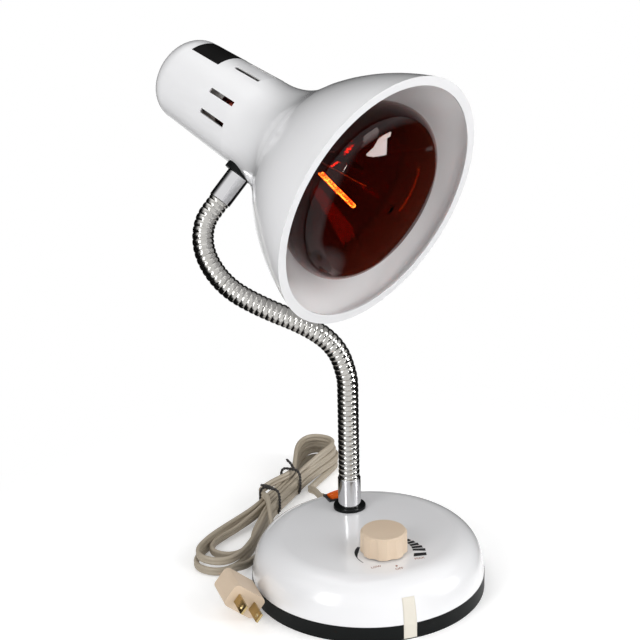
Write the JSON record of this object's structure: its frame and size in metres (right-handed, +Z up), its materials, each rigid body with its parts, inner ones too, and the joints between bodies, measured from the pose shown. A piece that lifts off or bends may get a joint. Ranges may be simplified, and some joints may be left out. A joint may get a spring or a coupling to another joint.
{
  "type": "heat lamp",
  "caption": "Infrared heat therapy lamp: white enamelled dome base with dimmer knob and switch, gooseneck, white bell shade and red reflector bulb.",
  "frame": {"origin": "centre of the base's round foot, on the table", "axes": "+Z up; -Y to the front, where the dimmer knob is; +X to the right"},
  "size_m": [0.2054, 0.284, 0.3536],
  "materials": {
    "chrome": "polished",
    "hose": "satin",
    "white_enamel": "gloss enamel",
    "black_plastic": "moulded",
    "orange_plastic": "gloss",
    "black_rubber": "matte",
    "steel": "zinc plated",
    "iron": "painted",
    "brass": "plain",
    "porcelain": "glazed",
    "bulb_red": "ruby coated",
    "clear_glass": "clear",
    "board": "plain",
    "cream_plastic": "moulded",
    "cord": "soft PVC"
  },
  "bodies": {
    "base": {"base_shell": "white_enamel", "base_rim": "black_rubber", "bottom_plate": "steel", "ballast_weight": "iron", "base_post_1": "steel", "base_post_2": "steel", "base_post_3": "steel", "bottom_screw_1": "steel", "bottom_screw_2": "steel", "bottom_screw_3": "steel", "dimmer_body": "black_plastic", "dimmer_board": "board", "dimmer_components": "black_plastic", "dimmer_nut": "steel", "switch_body": "black_plastic", "switch_terminals": "brass", "terminal_block": "cream_plastic", "cord_gland": "cord", "lower_washer": "black_rubber", "lower_ferrule": "chrome", "lower_threaded_tube": "steel", "lower_lock_washer": "steel", "lower_nut": "steel", "gooseneck_link_1": "hose", "cord_lead": "cord", "cord_hank": "cord", "cord_ties": "cord", "cord_plug_lead": "cord", "plug_body": "cream_plastic", "plug_blades": "brass"},
    "knob": {"knob": "cream_plastic", "dimmer_shaft": "steel"},
    "rocker": {"switch_rocker": "orange_plastic"},
    "gooseneck_2": {"gooseneck_link_2": "hose"},
    "gooseneck_3": {"gooseneck_link_3": "hose"},
    "gooseneck_4": {"gooseneck_link_4": "hose"},
    "gooseneck_5": {"gooseneck_link_5": "hose"},
    "gooseneck_6": {"gooseneck_link_6": "hose"},
    "gooseneck_7": {"gooseneck_link_7": "hose"},
    "head": {"gooseneck_link_8": "hose", "upper_washer": "black_rubber", "upper_ferrule": "chrome", "upper_threaded_tube": "steel", "upper_lock_washer": "steel", "upper_nut": "steel", "shade": "white_enamel", "holder_strap": "steel", "holder_screws": "steel", "lamp_holder": "porcelain", "thread_shell": "brass", "centre_contact": "brass", "bulb_glass": "bulb_red", "bulb_cap": "brass", "glass_stem": "clear_glass", "filament": "steel", "filament_supports": "steel"}
  },
  "joints": [
    {"name": "gooseneck_a", "type": "hinge", "parent": "base", "child": "gooseneck_2", "pos_m": [0, 0.0371, 0.09778], "axis": [1, 0, 0], "range_deg": [-15, 15]},
    {"name": "gooseneck_b", "type": "hinge", "parent": "gooseneck_2", "child": "gooseneck_3", "pos_m": [-0.0028, 0.03905, 0.14958], "axis": [0.0471, 0.9837, -0.1734], "range_deg": [-15, 15]},
    {"name": "gooseneck_c", "type": "hinge", "parent": "gooseneck_3", "child": "gooseneck_4", "pos_m": [-0.0142, 0.04385, 0.16773], "axis": [-0.6967, -0.2448, -0.6743], "range_deg": [-15, 15]},
    {"name": "gooseneck_d", "type": "hinge", "parent": "gooseneck_4", "child": "gooseneck_5", "pos_m": [-0.0393, 0.0526, 0.18328], "axis": [-0.2793, -0.9513, 0.1304], "range_deg": [-15, 15]},
    {"name": "gooseneck_e", "type": "hinge", "parent": "gooseneck_5", "child": "gooseneck_6", "pos_m": [-0.0657, 0.06375, 0.19763], "axis": [0.6502, 0.4708, 0.5963], "range_deg": [-15, 15]},
    {"name": "gooseneck_f", "type": "hinge", "parent": "gooseneck_6", "child": "gooseneck_7", "pos_m": [-0.0809, 0.0748, 0.21428], "axis": [0.2136, 0.8899, -0.403], "range_deg": [-15, 10]},
    {"name": "gooseneck_g", "type": "hinge", "parent": "gooseneck_7", "child": "head", "pos_m": [-0.0849, 0.0844, 0.23413], "axis": [-0.9925, 0.044, 0.114], "range_deg": [-8, 15]},
    {"name": "dimmer", "type": "hinge", "parent": "base", "child": "knob", "pos_m": [0, -0.0319, 0.0404], "axis": [0, 0, -1], "range_deg": [0, 300]},
    {"name": "switch", "type": "hinge", "parent": "base", "child": "rocker", "pos_m": [0, 0.05725, 0.03692], "axis": [0, 0.9863, -0.165], "range_deg": [0, 10]}
  ]
}
